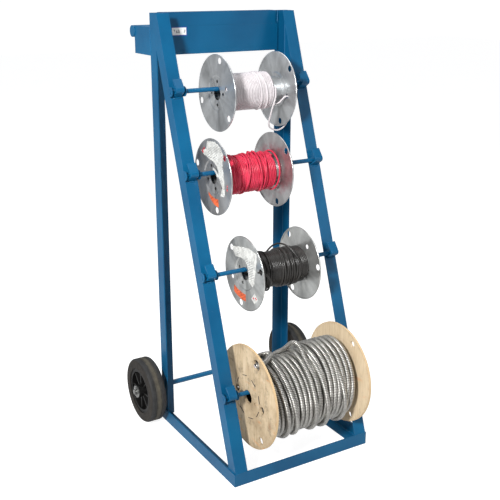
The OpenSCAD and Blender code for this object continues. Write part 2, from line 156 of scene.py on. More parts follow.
class Build:
    """Collects parts of one piece and makes its object. material is one, or a list of them."""

    def __init__(self, name, body, material, slot, smooth=True):
        self.name, self.body, self.slot, self.smooth = name, body, slot, smooth
        self.materials = material if isinstance(material, list) else [material]
        self.verts, self.faces, self.uvs, self.mats = [], [], [], []

    def add(self, verts, faces, uvs=None, mat=0):
        base = len(self.verts)
        self.verts += [Vector(v) for v in verts]
        self.faces += [tuple(base + i for i in f) for f in faces]
        self.uvs += uvs or [[(0.0, 0.0)] * len(f) for f in faces]
        self.mats += [mat] * len(faces)

    def make(self, *replaced):
        mesh = bpy.data.meshes.new(self.name)
        mesh.from_pydata([tuple(v) for v in self.verts], [], self.faces)
        layer = mesh.uv_layers.new(name="along")
        flat = [c for face in self.uvs for uv in face for c in uv]
        layer.data.foreach_set("uv", flat)
        for m in self.materials:
            mesh.materials.append(m)
        mesh.polygons.foreach_set("material_index", self.mats)
        mesh.update()
        mesh.validate()
        obj = add_object(self.name, mesh)
        fix_normals(obj)
        if self.smooth:
            mesh.shade_smooth()
        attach(obj, self.body)
        if replaced:
            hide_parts(*replaced)
        return obj


def fix_normals(obj):
    bm = bmesh.new()
    bm.from_mesh(obj.data)
    bmesh.ops.recalc_face_normals(bm, faces=bm.faces)
    bm.to_mesh(obj.data)
    bm.free()


# ---------------------------------------------------------------- camera
def look(obj, place, aim):
    obj.location = place
    obj.rotation_euler = (Vector(aim) - Vector(place)).to_track_quat("-Z", "Y").to_euler()


def add_camera():
    data = bpy.data.cameras.new("camera")
    data.lens = 60.99
    data.sensor_width = 36
    cam = add_object("camera", data)
    look(cam, (-1.2401, -2.0196, 1.3420), (-0.059774, -0.057, 0.607892))
    bpy.context.scene.camera = cam


add_camera()


# ---------------------------------------------------------------- materials
def lin(r, g, b):
    """A colour given as 0 to 255 screen values, as linear light."""
    out = []
    for c in (r, g, b):
        c /= 255
        out.append(c / 12.92 if c <= 0.04045 else ((c + 0.055) / 1.055) ** 2.4)
    return (*out, 1.0)


class Mat:
    """A small builder of node materials."""

    def __init__(self, name, rough=0.5, metal=0.0, spec=0.5, coat=0.0):
        self.mat = bpy.data.materials.new(name)
        self.mat.use_nodes = True
        self.tree = self.mat.node_tree
        self.bsdf = self.tree.nodes["Principled BSDF"]
        self.bsdf.inputs["Roughness"].default_value = rough
        self.bsdf.inputs["Metallic"].default_value = metal
        self.bsdf.inputs["Specular IOR Level"].default_value = spec
        if coat:
            self.bsdf.inputs["Coat Weight"].default_value = coat
            self.bsdf.inputs["Coat Roughness"].default_value = 0.12
        self.coords = self.node("ShaderNodeTexCoord")

    def node(self, kind, **props):
        n = self.tree.nodes.new(kind)
        for key, value in props.items():
            setattr(n, key, value)
        return n

    def link(self, a, b):
        self.tree.links.new(a, b)

    def feed(self, values, sockets):
        """Links what comes from a node, and sets the rest as constants."""
        for value, socket in zip(values, sockets):
            if hasattr(value, "is_output"):
                self.link(value, socket)
            else:
                socket.default_value = value

    def place(self, scale=(1, 1, 1), rotate=(0, 0, 0), move=(0, 0, 0)):
        m = self.node("ShaderNodeMapping")
        m.inputs["Scale"].default_value = scale
        m.inputs["Rotation"].default_value = rotate
        m.inputs["Location"].default_value = move
        self.link(self.coords.outputs["Object"], m.inputs["Vector"])
        return m.outputs["Vector"]

    def noise(self, scale, detail=4.0, rough=0.55, vector=None, distort=0.0):
        n = self.node("ShaderNodeTexNoise")
        n.inputs["Scale"].default_value = scale
        n.inputs["Detail"].default_value = detail
        n.inputs["Roughness"].default_value = rough
        n.inputs["Distortion"].default_value = distort
        self.link(vector or self.coords.outputs["Object"], n.inputs["Vector"])
        return n.outputs["Fac"]

    def ramp(self, fac, stops):
        r = self.node("ShaderNodeValToRGB")
        while len(r.color_ramp.elements) < len(stops):
            r.color_ramp.elements.new(0.5)
        for e, (pos, colour) in zip(r.color_ramp.elements, stops):
            e.position = pos
            e.color = colour if hasattr(colour, "__len__") else (colour, colour, colour, 1)
        self.link(fac, r.inputs["Fac"])
        return r.outputs["Color"]

    def mix(self, fac, a, b):
        m = self.node("ShaderNodeMix", data_type="RGBA", blend_type="MIX")
        # a mix node has sockets for every kind of data; these are the factor and the two colours
        self.feed((fac, a, b), (m.inputs[0], m.inputs[6], m.inputs[7]))
        return m.outputs[2]

    def math(self, op, a, b=0.0, clamp=False, c=0.0):
        m = self.node("ShaderNodeMath", operation=op, use_clamp=clamp)
        self.feed((a, b, c), m.inputs)
        return m.outputs[0]

    def split(self, source="Object"):
        s = self.node("ShaderNodeSeparateXYZ")
        self.link(self.coords.outputs[source], s.inputs["Vector"])
        return s.outputs

    def polar(self, axis):
        """Offsets from an X axis, and the radius."""
        xyz = self.split()
        dy = self.math("SUBTRACT", xyz["Y"], axis[0])
        dz = self.math("SUBTRACT", xyz["Z"], axis[1])
        square = self.math("ADD", self.math("MULTIPLY", dy, dy), self.math("MULTIPLY", dz, dz))
        return xyz["X"], dy, dz, self.math("SQRT", square)

    def band(self, value, lo, hi, soft):
        """1 between lo and hi, with soft edges."""
        up = self.math("MULTIPLY_ADD", value, 1 / soft, clamp=True, c=-lo / soft)
        down = self.math("MULTIPLY_ADD", value, -1 / soft, clamp=True, c=hi / soft)
        return self.math("MULTIPLY", up, down)

    def vector(self, x, y, z):
        c = self.node("ShaderNodeCombineXYZ")
        self.feed((x, y, z), c.inputs)
        return c.outputs["Vector"]

    def colour(self, socket):
        self.link(socket, self.bsdf.inputs["Base Color"])

    def rough(self, fac, lo, hi):
        r = self.node("ShaderNodeMapRange")
        r.inputs["To Min"].default_value = lo
        r.inputs["To Max"].default_value = hi
        self.link(fac, r.inputs["Value"])
        self.link(r.outputs["Result"], self.bsdf.inputs["Roughness"])

    def bump(self, height, strength, distance, bevel=0.0):
        b = self.node("ShaderNodeBump")
        b.inputs["Strength"].default_value = strength
        b.inputs["Distance"].default_value = distance
        self.link(height, b.inputs["Height"])
        if bevel:
            e = self.node("ShaderNodeBevel", samples=6)
            e.inputs["Radius"].default_value = bevel
            self.link(e.outputs["Normal"], b.inputs["Normal"])
        self.link(b.outputs["Normal"], self.bsdf.inputs["Normal"])


PAINT_DARK, PAINT_LIGHT = lin(2, 76, 116), lin(5, 94, 136)


def blue_paint():
    """Satin enamel over welded steel: orange peel, slow shade drift and a few pale scuffs."""
    m = Mat("blue_paint", rough=0.36, spec=0.30, coat=0.05)
    drift = m.noise(5.0, 3.0)
    base = m.ramp(drift, [(0.3, PAINT_DARK), (0.7, PAINT_LIGHT)])
    dust = m.ramp(m.noise(42.0, 8.0, 0.7), [(0.62, 0.0), (0.82, 0.2)])
    base = m.mix(dust, base, lin(70, 112, 146))
    nick = m.ramp(m.noise(170.0, 3.0, 0.6), [(0.745, 0.0), (0.77, 0.5)])
    base = m.mix(nick, base, lin(110, 138, 160))
    m.colour(base)
    m.rough(m.noise(28.0, 5.0), 0.34, 0.50)
    peel = m.math("ADD", m.noise(420.0, 2.0), m.math("MULTIPLY", m.noise(60.0, 3.0), 0.8))
    m.bump(peel, 0.10, 0.0006, bevel=0.0012)
    return m.mat


def darker(colour, k):
    return tuple(k * c for c in colour[:3]) + (1,)


def steel(name, dark, light, lo, hi, scale):
    """Clouded bare metal. lo and hi are the ends of its roughness."""
    m = Mat(name, metal=1.0)
    cloud = m.noise(scale, 6.0, 0.6)
    base = m.ramp(cloud, [(0.32, dark), (0.68, light)])
    stain = m.ramp(m.noise(scale * 0.35, 5.0, 0.65), [(0.55, 0.0), (0.72, 0.5)])
    base = m.mix(stain, base, darker(dark, 0.62))
    m.colour(base)
    m.rough(m.noise(scale * 1.7, 4.0), lo, hi)
    m.bump(m.noise(scale * 9, 4.0), 0.12, 0.0004)
    return m.mat


def insulation(name, dark, light, rough=0.38):
    """Extruded wire insulation: slight tint drift, uneven gloss and a fine grain."""
    m = Mat(name, rough=rough, spec=0.45)
    tint = m.ramp(m.noise(24.0, 4.0), [(0.3, dark), (0.7, light)])
    m.colour(tint)
    m.rough(m.noise(60.0, 4.0), rough - 0.08, rough + 0.12)
    m.bump(m.noise(500.0, 3.0), 0.06, 0.0003)
    return m.mat


BLUE = blue_paint()
ZINC_DARK, ZINC_LIGHT = lin(120, 120, 118), lin(185, 186, 184)
ZINC = steel("zinc_steel", ZINC_DARK, ZINC_LIGHT, 0.25, 0.45, 60)
WHITE_WIRE = insulation("white_wire", lin(194, 188, 190), lin(212, 206, 208))
RED_WIRE = insulation("red_wire", lin(186, 30, 58), lin(214, 56, 84))
BLACK_WIRE = insulation("black_wire", lin(36, 35, 34), lin(58, 56, 54), 0.30)


# ---------------------------------------------------------------- loose wire
LOOP_ROUTE = [
    (0.0775, 0.289, 1.05), (0.0778, 0.2874, 1.0425), (0.0778, 0.2867, 1.0345), (0.0776, 0.2867, 1.0215),
    (0.0745, 0.2878, 1.007), (0.071, 0.291, 0.9925), (0.069, 0.295, 0.9775), (0.0685, 0.3, 0.964),
    (0.0682, 0.305, 0.951), (0.069, 0.309, 0.9395), (0.0745, 0.312, 0.93), (0.087, 0.314, 0.9225),
    (0.102, 0.314, 0.919), (0.1145, 0.314, 0.922), (0.124, 0.313, 0.928), (0.13, 0.311, 0.937),
    (0.132, 0.307, 0.95), (0.132, 0.302, 0.966), (0.1305, 0.2965, 0.9825), (0.128, 0.2915, 0.9985),
    (0.1265, 0.2885, 1.0115), (0.1205, 0.2875, 1.018), (0.112, 0.2875, 1.019), (0.1035, 0.2885, 1.0135),
    (0.096, 0.2935, 1.0035), (0.087, 0.299, 0.998), (0.079, 0.303, 0.9945),
]
TAIL_ROUTE = [
    (-0.037, 0.1246, 0.5255), (-0.041, 0.116, 0.5305), (-0.046, 0.1085, 0.538), (-0.053, 0.102, 0.547),
    (-0.062, 0.0965, 0.557), (-0.0715, 0.092, 0.566), (-0.081, 0.089, 0.5735), (-0.090, 0.0878, 0.5788),
    (-0.097, 0.0878, 0.5805), (-0.103, 0.088, 0.5805),
]


def add_strand(name, node, body, route, material, slot):
    line = spline([Vector((x, y - MID, z)) for x, y, z in route], 5)
    b = Build(name, body, material, slot)
    b.add(*sweep(line, WIRE / 2, 14))
    obj = b.make(node)
    tuple(line[0])
    length_of(line)
    [tuple(p) for p in line]


add_strand("white_wire_strand", "white_wire_loop", "white_spool", LOOP_ROUTE, WHITE_WIRE, "white_wire")
add_strand("black_wire_strand", "black_wire_tail", "black_spool", TAIL_ROUTE, BLACK_WIRE, "black_wire")


def dress(material, *names):
    for name in names:
        mesh = NODES[name].data
        mesh.materials.clear()
        mesh.materials.append(material)


dress(BLUE, "base_front_rail", "base_left_rail", "base_right_rail", "rear_left_upright",
      "rear_right_upright", "front_left_upright", "front_right_upright", "top_cross_member",
      "cross_panel", "handle_left_arm", "handle_right_arm", "handle_tube", "handle_end_caps",
      "bottom_rod_hooks", "lower_rod_hooks", "upper_rod_hooks", "top_rod_hooks", "axle_brackets",
      "bottom_rod", "bottom_rod_collars", "lower_rod", "lower_rod_collars", "upper_rod",
      "upper_rod_collars", "top_rod", "top_rod_collars")


AXLE_PAINTED = 0.238  # how far the axle is painted, each way from its middle


def axle_material():
    """Painted with the frame between the uprights, bare zinc outside them."""
    m = Mat("painted_axle", rough=0.4)
    across = m.math("ABSOLUTE", m.split()["X"])
    ragged = m.math("ADD", across, m.math("MULTIPLY", m.noise(90.0), 0.004))
    painted = m.band(ragged, -1.0, AXLE_PAINTED, 0.002)
    zinc = m.ramp(m.noise(60.0, 6.0), [(0.32, ZINC_DARK), (0.68, ZINC_LIGHT)])
    blue = m.ramp(m.noise(5.0, 3.0), [(0.3, PAINT_DARK), (0.7, PAINT_LIGHT)])
    m.colour(m.mix(painted, zinc, blue))
    m.link(m.math("SUBTRACT", 1.0, painted), m.bsdf.inputs["Metallic"])
    m.rough(m.noise(80.0, 4.0), 0.30, 0.46)
    m.bump(m.noise(400.0, 3.0), 0.1, 0.0004)
    return m.mat


dress(axle_material(), "axle")
dress(ZINC, "axle_spacers", "axle_washers", "cotter_pins", "left_bushing", "right_bushing")


# ---------------------------------------------------------------- weld beads
def add_bead(build, points, r, seed, squash):
    """A run of overlapping weld ripples along a line."""
    rng = random.Random(seed)
    line = [Vector(p) for p in points]
    total = length_of(line)
    steps = max(6, int(total / (r * 0.32)))
    out, radii = [], []
    walk = [(a, b, (b - a).length) for a, b in zip(line, line[1:])]
    wobble = rng.random() * 20
    for i in range(steps + 1):
        d = total * i / steps
        for a, b, run in walk:
            if d <= run + 1e-9:
                p = a.lerp(b, d / run if run else 0)
                break
            d -= run
        w = noise.noise(Vector((i * 0.13 + wobble, seed * 1.7, 0)))
        stray = Vector([noise.noise(Vector((i * 0.2, seed, k))) for k in (3, 7, 11)])
        out.append(p + stray * r * 0.22)
        ripple = 0.9 + 0.12 * math.cos(i * 2 * math.pi / 4.0)
        ends = min(1.0, 0.35 + 1.8 * math.sin(math.pi * min(i, steps - i) / steps))
        radii.append(r * ripple * ends * (1 + 0.18 * w))
    build.add(*sweep(out, radii, 10, flat=squash))


PANEL = (1137, 1212)  # from the bottom to the top of the panel and the handle arms
ABOVE_PANEL = (1216, 1250)  # the cross member over it
RAIL_TOP = 38.2
BRACKET = (84, 119)  # from the bottom to the top of the axle brackets
HOOKS = (214.8, 552.8, 833.8, 1065.5)  # stations of the rods up the slanted face
HOOK_X = 206.35
TUBE_BACK, TUBE_UP, TUBE_EDGE = 583.2, 1196.9, 16.9  # the handle tube's centre, and where its bead runs


def side_beads(sx):
    """The beads of one side, as (points, radius in millimetres, squash)."""

    def bead(r, *points):
        return [cart(sx * x, y, z) for x, y, z in points], r, 0.8

    def upright_bead(r, x, y, span):
        return bead(r, (x, y, span[0]), (x, y, span[1]))

    # panel and cross member ends, seen from the front and from behind
    yield upright_bead(2.6, 194.4, 462.4, PANEL)
    yield upright_bead(2.6, 194.4, 462.4, ABOVE_PANEL)
    yield upright_bead(2.4, 187.1, 465.6, (1216, 1249))
    yield bead(1.5, (187.1, 466.5, 1250.0), (187.1, 494, 1250.0))
    # handle arms on the uprights, and the tube on the arms
    yield upright_bead(2.2, 225.2, 466, PANEL)
    yield upright_bead(2.6, 220.4, 466.6, PANEL)
    arc = []
    for k in range(9):
        a = math.radians(110 + 140 * k / 8)
        arc.append((220.4, TUBE_BACK + TUBE_EDGE * math.cos(a), TUBE_UP + TUBE_EDGE * math.sin(a)))
    yield bead(2.4, *arc)
    # slanted upright on the front rail and against the rear upright
    yield bead(1.5, (189, 0.6, 38.3), (224, 0.6, 38.3))
    yield upright_bead(1.8, 216, 429.0, (1160, 1246))
    # uprights in the corners of the base rails
    yield bead(1.7, (225.3, 16, RAIL_TOP), (225.3, 46, RAIL_TOP))
    yield bead(1.7, (225.3, 430, RAIL_TOP), (225.3, 464, RAIL_TOP))
    yield bead(2.2, (190, 462.4, 4.5), (218, 462.4, 4.5))
    # mitred front corners
    yield upright_bead(1.5, 227.2, 1.4, (2, 37))
    yield bead(1.6, (224, 4.6, 3.4), (192, 36.6, 3.4))
    # axle brackets
    yield upright_bead(2.2, 219, 466.4, BRACKET)
    yield upright_bead(1.9, 225.2, 466.2, BRACKET)
    # hook straps: under the lower leg, and a short stitch on each side
    for s in HOOKS:
        yield [on_face(sx * HOOK_X + d, -0.2, s - 16.2) for d in (-12.0, -4, 4, 12.0)], 3.0, 0.9
        for side in (-1, 1):
            yield [on_face(sx * HOOK_X + side * 12.9, 0.2, s - down) for down in (14.6, 9.4)], 1.6, 0.8


def frame_welds():
    welds = Build("frame_welds", "frame", BLUE, "blue_paint")
    beads = [bead for sx in (-1, 1) for bead in side_beads(sx)]
    for k, (points, r, squash) in enumerate(beads):
        add_bead(welds, points, r * MM, k + 1, squash)
    welds.make()


frame_welds()


# ---------------------------------------------------------------- wheels
TREAD_R = 0.0965  # where the tyre's side turns into its tread
CROWN = 0.011  # half width of the worn crown


def tyre_material():
    m = Mat("tyre_rubber", rough=0.75, spec=0.3)
    x, _, _, r = m.polar(axis_of("left_tyre"))
    lo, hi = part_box("right_tyre")
    middle = (lo.x + hi.x) / 2
    off = m.math("ABSOLUTE", m.math("SUBTRACT", m.math("ABSOLUTE", x), middle))
    rubber = m.ramp(m.noise(35.0, 5.0), [(0.3, lin(34, 31, 28)), (0.7, lin(50, 46, 41))])
    shoulder = m.ramp(m.noise(45.0, 6.0, 0.7), [(0.3, lin(36, 36, 36)), (0.7, lin(58, 58, 58))])
    worn = m.ramp(m.noise(55.0, 6.0, 0.7), [(0.3, lin(66, 62, 54)), (0.7, lin(90, 85, 74))])
    # the crown runs on the floor, so its middle is worn pale and its shoulders stay dark
    ragged = m.math("MULTIPLY_ADD", m.noise(70.0, 3.0), 0.006, c=-0.003)
    crown = m.band(m.math("ADD", off, ragged), -1.0, CROWN, 0.008)
    tread = m.math("MULTIPLY", m.math("SUBTRACT", r, TREAD_R), 600.0, clamp=True)
    base = m.mix(tread, rubber, shoulder)
    m.colour(m.mix(m.math("MULTIPLY", tread, crown), base, worn))
    m.rough(m.noise(80.0, 4.0), 0.55, 0.85)
    m.bump(m.noise(260.0, 5.0, 0.65), 0.35, 0.0006)
    return m.mat


def hub_material():
    m = Mat("hub_plastic", rough=0.42, spec=0.3)
    m.colour(m.ramp(m.noise(40.0, 5.0), [(0.3, lin(9, 9, 9)), (0.75, lin(24, 23, 22))]))
    m.rough(m.noise(90.0, 4.0), 0.38, 0.6)
    m.bump(m.noise(900.0, 2.0), 0.12, 0.0002, bevel=0.0008)
    return m.mat


TYRE, HUB = tyre_material(), hub_material()
dress(TYRE, "left_tyre", "right_tyre")
dress(HUB, "left_hub", "right_hub")


# ---------------------------------------------------------------- steel spools
def flange_material(name, node, tone, tint=None):
    """Galvanised sheet, buckled a little, with painted reflection: its colour is lighter and darker in
    wedges round the bore, over random clouding, with spangle, dull patches and scratches.
    """
    m = Mat(name, metal=0.8)
    x, dy, dz, r = m.polar(axis_of(node))
    turn = m.vector(m.math("DIVIDE", dy, r), m.math("DIVIDE", dz, r), m.math("MULTIPLY", r, 4.0))
    wedge = m.noise(1.9, 3.0, 0.5, vector=turn, distort=0.5)
    big = m.noise(11.0, 5.0, 0.6, distort=0.6)
    # painted reflection: the wedges, which also make the buckle, lighten and darken the sheet; the big
    # noise adds random clouding
    cloud = m.math("ADD", m.math("MULTIPLY", wedge, 0.6), m.math("MULTIPLY", big, 0.4))
    reflection_and_cloud_steps = [(0.36, 0.45), (0.47, 0.72), (0.55, 0.90), (0.66, 1.05)]
    base = m.ramp(cloud, [(at, darker(tone, k)) for at, k in reflection_and_cloud_steps])
    v = m.node("ShaderNodeTexVoronoi", feature="F1")
    v.inputs["Scale"].default_value = 170.0
    m.link(m.coords.outputs["Object"], v.inputs["Vector"])
    spangle = m.ramp(v.outputs["Color"], [(0.0, 0.0), (1.0, 0.18)])
    base = m.mix(spangle, base, darker(tone, 0.5))
    if tint:
        # painted reflection of the red winding, in patches, on the sheet round the winding's radius and a
        # little past it, towards the right end
        red_reflection_mask = m.math("MULTIPLY", m.ramp(m.noise(30.0, 5.0, 0.6), [(0.42, 0.0), (0.62, 1.0)]),
                     m.math("MULTIPLY", m.band(r, 0.040, 0.092, 0.02), m.band(x, -0.05, 1.0, 0.01)))
        base = m.mix(m.math("MULTIPLY", red_reflection_mask, 0.55), base, tint)
    scratch = m.noise(60.0, 6.0, 0.7, vector=m.place((1, 6.0, 0.6), rotate=(0.6, 0, 0)))
    base = m.mix(m.ramp(scratch, [(0.62, 0.0), (0.70, 0.4)]), base, (0.80, 0.80, 0.79, 1))
    m.colour(base)
    dull = m.math("MULTIPLY", m.noise(18.0, 5.0), 0.6)
    m.rough(m.math("ADD", dull, m.math("MULTIPLY", wedge, 0.4)), 0.16, 0.46)
    buckle = m.math("ADD", wedge, m.math("MULTIPLY", m.noise(16.0, 2.0), 0.5))
    buckle = m.math("ADD", buckle, m.math("MULTIPLY", m.noise(300.0, 3.0), 0.02))
    m.bump(buckle, 0.35, 0.006)
    return m.mat


# the red spool's tint is painted reflection of its red winding
RED_REFLECTION = lin(170, 60, 84)
for spool, tone, tint in (("white", (0.68, 0.70, 0.71), None), ("red", (0.60, 0.60, 0.60), RED_REFLECTION),
                          ("black", (0.66, 0.67, 0.65), None)):
    sheet = flange_material(spool + "_galvanised_sheet", spool + "_drum", tone, tint)
    dress(sheet, *(spool + "_" + piece for piece in ("left_flange", "right_flange", "drum")))


STRAND = 0.0026  # radius of the wound wire
DRUM_R = 0.0385  # radius of a steel spool's drum
TURN_WANDER = 0.0006  # how far a loose turn strays from its ring


def helix(axis, x0, x1, r, pitch, seed, per_turn=28, loosen=0.0, wander=0.35):
    """Turns laid side by side from x0 to x1 about an X axis. wander is in millimetres."""
    turns = abs(x1 - x0) / pitch
    n = int(turns * per_turn)
    pts = []
    for i in range(n + 1):
        x = x0 + (x1 - x0) * i / n
        q = Vector((i * 0.021, seed * 3.1, 0))
        dx = noise.noise(q) * wander * MM * 2
        dr = noise.noise(q + Vector((0, 9, 0))) * wander * MM * 2
        dr += loosen * noise.noise(q * 0.5 + Vector((5, 5, 5)))
        pts.append(on_circle(axis, x + dx, r + dr, 2 * math.pi * i / per_turn))
    return pts


def sleeve(axis, x0, x1, inner, outer):
    """A plain layer under the turns."""
    return revolve([(inner, x0), (outer, x0), (outer, x1), (inner, x1)], axis)


def ring_turn(axis, x, r, seed, tilt=0.0, sag=0.0, lean=0.0, tall=0.0, rise=0.0, rise_at=90.0,
              span=40.0):
    """One loose turn: tilted and leaning across the drum, hanging by sag and stretched by tall.

    About rise_at degrees it stands off by rise, over a stretch of span degrees.
    """
    pts = []
    steps = 72
    for i in range(steps + 1):
        a = 2 * math.pi * i / steps
        swing = (math.degrees(a) - rise_at + 180) % 360 - 180
        rr = r + rise * math.exp(-((swing / span) ** 2))
        rr += TURN_WANDER * noise.noise(Vector((i * 0.1, seed, 2)))
        dx = tilt * math.sin(a) + lean * math.cos(a)
        dx += TURN_WANDER * noise.noise(Vector((i * 0.1, seed, 1)))
        y, z = rr * math.cos(a), (rr + tall) * math.sin(a)
        pts.append(Vector((x + dx, axis[0] + y, axis[1] - sag + z)))
    return pts


def around(axis, points):
    """A route from (x, radius, degrees) points about an X axis."""
    return spline([on_circle(axis, x, r, math.radians(degrees)) for x, r, degrees in points], 6)


def ends(node):
    """Where the first and the last wire of a winding lie."""
    lo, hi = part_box(node)
    return lo.x + STRAND, hi.x - STRAND


def add_wire(build, line):
    build.add(*sweep(line, STRAND, 10))


def white_winding():
    axis = axis_of("white_winding")
    first, last = ends("white_winding")
    b = Build("white_wire_turns", "white_spool", WHITE_WIRE, "white_wire")
    b.add(*sleeve(axis, first, last, DRUM_R, 0.0490))
    add_wire(b, helix(axis, first, 0.044, 0.0503, 0.0051, 1, wander=0.14))
    # the last turns lie at a slant, and two ride over the tidy ones
    for k in range(8):
        r = 0.0505 + 0.0004 * (k % 2)
        add_wire(b, ring_turn(axis, 0.0435 + 0.0047 * k, r, k, tilt=-0.0030, lean=0.0030))
    add_wire(b, ring_turn(axis, 0.0400, 0.0528, 8, tilt=-0.0050, lean=0.0060))
    add_wire(b, ring_turn(axis, 0.0560, 0.0530, 9, tilt=-0.0080, lean=0.0040))
    b.make("white_winding")


def red_winding():
    axis = axis_of("red_winding")
    first = ends("red_winding")[0]
    b = Build("red_wire_turns", "red_spool", RED_WIRE, "red_wire")
    b.add(*sleeve(axis, first, 0.040, DRUM_R, 0.0480))
    add_wire(b, helix(axis, first, 0.0385, 0.0492, 0.0051, 4, wander=0.25))
    # patches of a second layer: from X, to X, radius
    second = [(first, -0.080, 0.0533), (-0.073, -0.055, 0.0522), (-0.047, -0.012, 0.0524),
              (-0.002, 0.010, 0.0526), (0.014, 0.037, 0.0520)]
    for k, (x0, x1, r) in enumerate(second):
        add_wire(b, helix(axis, x0, x1, r, 0.0053, 5 + k, loosen=0.0010, wander=0.4))
    # stray turns over it: X, radius, tilt, lean
    stray = [(-0.116, 0.0558, 0.006, 0.004), (-0.100, 0.0560, 0.009, 0.006),
             (-0.077, 0.0545, -0.008, 0.010), (-0.052, 0.0545, 0.004, 0.006),
             (-0.050, 0.0556, 0.010, 0.004), (-0.006, 0.0552, -0.010, 0.012),
             (-0.003, 0.0554, -0.004, 0.010), (0.012, 0.0552, 0.006, 0.012),
             (0.0465, 0.0560, 0.002, 0.002)]
    for k, (x, r, tilt, lean) in enumerate(stray):
        add_wire(b, ring_turn(axis, x, r, 20 + k, tilt=tilt, lean=lean))
    # two kinks stand up on the top of the winding: offset in X, radius, degrees
    kink = [(-0.007, 0.0530, 114), (-0.0055, 0.0560, 103), (-0.0035, 0.0585, 94), (0.0010, 0.0600, 90),
            (0.0050, 0.0585, 94), (0.0050, 0.0560, 104), (0.0065, 0.0530, 116)]
    for x in (-0.0285, -0.0143):
        add_wire(b, around(axis, [(x + dx, r, degrees) for dx, r, degrees in kink]))
    b.make("red_winding")


def black_winding():
    axis = axis_of("black_winding")
    first, last = ends("black_winding")
    b = Build("black_wire_turns", "black_spool", BLACK_WIRE, "black_wire")
    b.add(*sleeve(axis, first, last, DRUM_R, 0.0470))
    add_wire(b, helix(axis, first, last, 0.0488, 0.0051, 11, wander=0.12))
    add_wire(b, helix(axis, 0.0640, last, 0.0505, 0.0052, 12, wander=0.2))
    for k in range(7):
        odd, third = k % 2, k % 3
        add_wire(b, ring_turn(axis, -0.072 + 0.0060 * k, 0.0535 + 0.0010 * third, 40 + k, sag=0.0010 * odd,
                              tilt=0.0030 - 0.0014 * third, lean=0.002 + 0.002 * odd))
    for k in range(8):
        add_wire(b, ring_turn(axis, 0.010 + 0.0078 * k, 0.0530 + 0.0004 * ((k * 3) % 4), 50 + k,
                              tilt=0.0022 * (-1) ** k, lean=0.0065 + 0.001 * (k % 2)))
    # one slack turn arches over the top, and one hangs at the left
    add_wire(b, ring_turn(axis, 0.032, 0.0545, 61, tilt=0.002, lean=-0.030, rise=0.0135, rise_at=84,
                          span=42))
    add_wire(b, ring_turn(axis, -0.042, 0.0550, 62, tilt=-0.008, lean=0.004, rise=0.0045, rise_at=228,
                          span=34))
    b.make("black_winding")


white_winding()
red_winding()
black_winding()


# ---------------------------------------------------------------- labels
def paper(name, base, ink, print_size=1.0):
    """Coated paper with creases, darker in their hollows as painted shade, rubbed patches and rows of
    unreadable print.
    """
    m = Mat(name, rough=0.5, spec=0.35)
    crease = m.noise(55.0, 6.0, 0.65, distort=0.8)
    # painted shade: the paper darkens where the crease pattern, which also makes the bump, runs low
    tone = m.ramp(crease, [(0.36, darker(base, 0.70)), (0.56, base)])
    rows = m.place((1, 1, 1), rotate=(0.5, 0, 0))
    split = m.node("ShaderNodeSeparateXYZ")
    m.link(rows, split.inputs["Vector"])
    saw = m.math("FRACT", m.math("MULTIPLY", split.outputs["Z"], 160.0 / print_size))
    row = m.band(saw, 0.25, 0.80, 0.08)
    marks = m.noise(620.0 / print_size, 2.0, 0.5, vector=m.place((1, 1.0, 0.35), rotate=(0.5, 0, 0)))
    marks = m.ramp(marks, [(0.46, 0.0), (0.52, 1.0)])
    where = m.ramp(m.noise(26.0, 2.0, 0.5), [(0.46, 0.0), (0.52, 0.75)])
    pressed = m.math("MULTIPLY", m.math("MULTIPLY", row, marks), where)
    tone = m.mix(pressed, tone, ink)
    dull = m.ramp(m.noise(60.0, 7.0, 0.72), [(0.48, 0.0), (0.62, 0.6)])
    m.colour(m.mix(dull, tone, darker(base, 0.5)))
    m.rough(crease, 0.40, 0.62)
    m.bump(crease, 0.5, 0.0015)
    return m.mat


WHITE_PAPER = paper("white_paper", lin(222, 222, 217), lin(96, 96, 98))
ORANGE_PAPER = paper("orange_paper", lin(236, 108, 62), lin(120, 52, 34), 1.4)
RED_PAPER = paper("red_paper", lin(214, 40, 58), lin(250, 240, 236), 0.7)
# a steel flange: where its dished part ends at the curled rim, and the step round its bore
DISH_R, STEP_R, DISH, SHEET, STEP_DEPTH = 0.1035, 0.050, 0.0042, 0.0012, 0.003


def skin(r):
    """Depth of a flange's outside behind its rim plane. Paper bridges the step round the bore."""
    slope = (DISH - SHEET - STEP_DEPTH) / (DISH_R - STEP_R)
    return slope * (DISH_R - max(r, STEP_R)) + SHEET / 2


def patch(build, axis, x0, inner, outer, seed, ragged, mat):
    """Paper on a left flange. inner and outer are (degrees, radius) edges with the same degrees."""
    along, across = 48, 6
    edges = []
    for edge in (inner, outer):
        line = []
        for i in range(along + 1):
            t = i / along * (len(edge) - 1)
            k = min(int(t), len(edge) - 2)
            f = t - k
            degrees = edge[k][0] + (edge[k + 1][0] - edge[k][0]) * f
            r = edge[k][1] + (edge[k + 1][1] - edge[k][1]) * f
            r += ragged * noise.noise(Vector((i * 0.45, seed, len(edges) * 5.0)))
            line.append((math.radians(degrees), r))
        edges.append(line)
    verts, faces = [], []
    for lift in (0.00035, 0.00005):
        for (a0, r0), (a1, r1) in zip(*edges):
            for j in range(across + 1):
                f = j / across
                r = r0 * (1 - f) + r1 * f
                verts.append(on_circle(axis, x0 + skin(r) - lift, r, a0 * (1 - f) + a1 * f))
    wide = across + 1
    sheet = (along + 1) * wide
    for i in range(along):
        for j in range(across):
            q = i * wide + j
            faces.append((q, q + 1, q + wide + 1, q + wide))
            faces.append((sheet + q, sheet + q + wide, sheet + q + wide + 1, sheet + q + 1))
        for j in (0, across):
            q = i * wide + j
            faces.append((q, q + wide, sheet + q + wide, sheet + q))
    for i in (0, along):
        for j in range(across):
            q = i * wide + j
            faces.append((q, q + 1, sheet + q + 1, sheet + q))
    build.add(verts, faces, mat=mat)


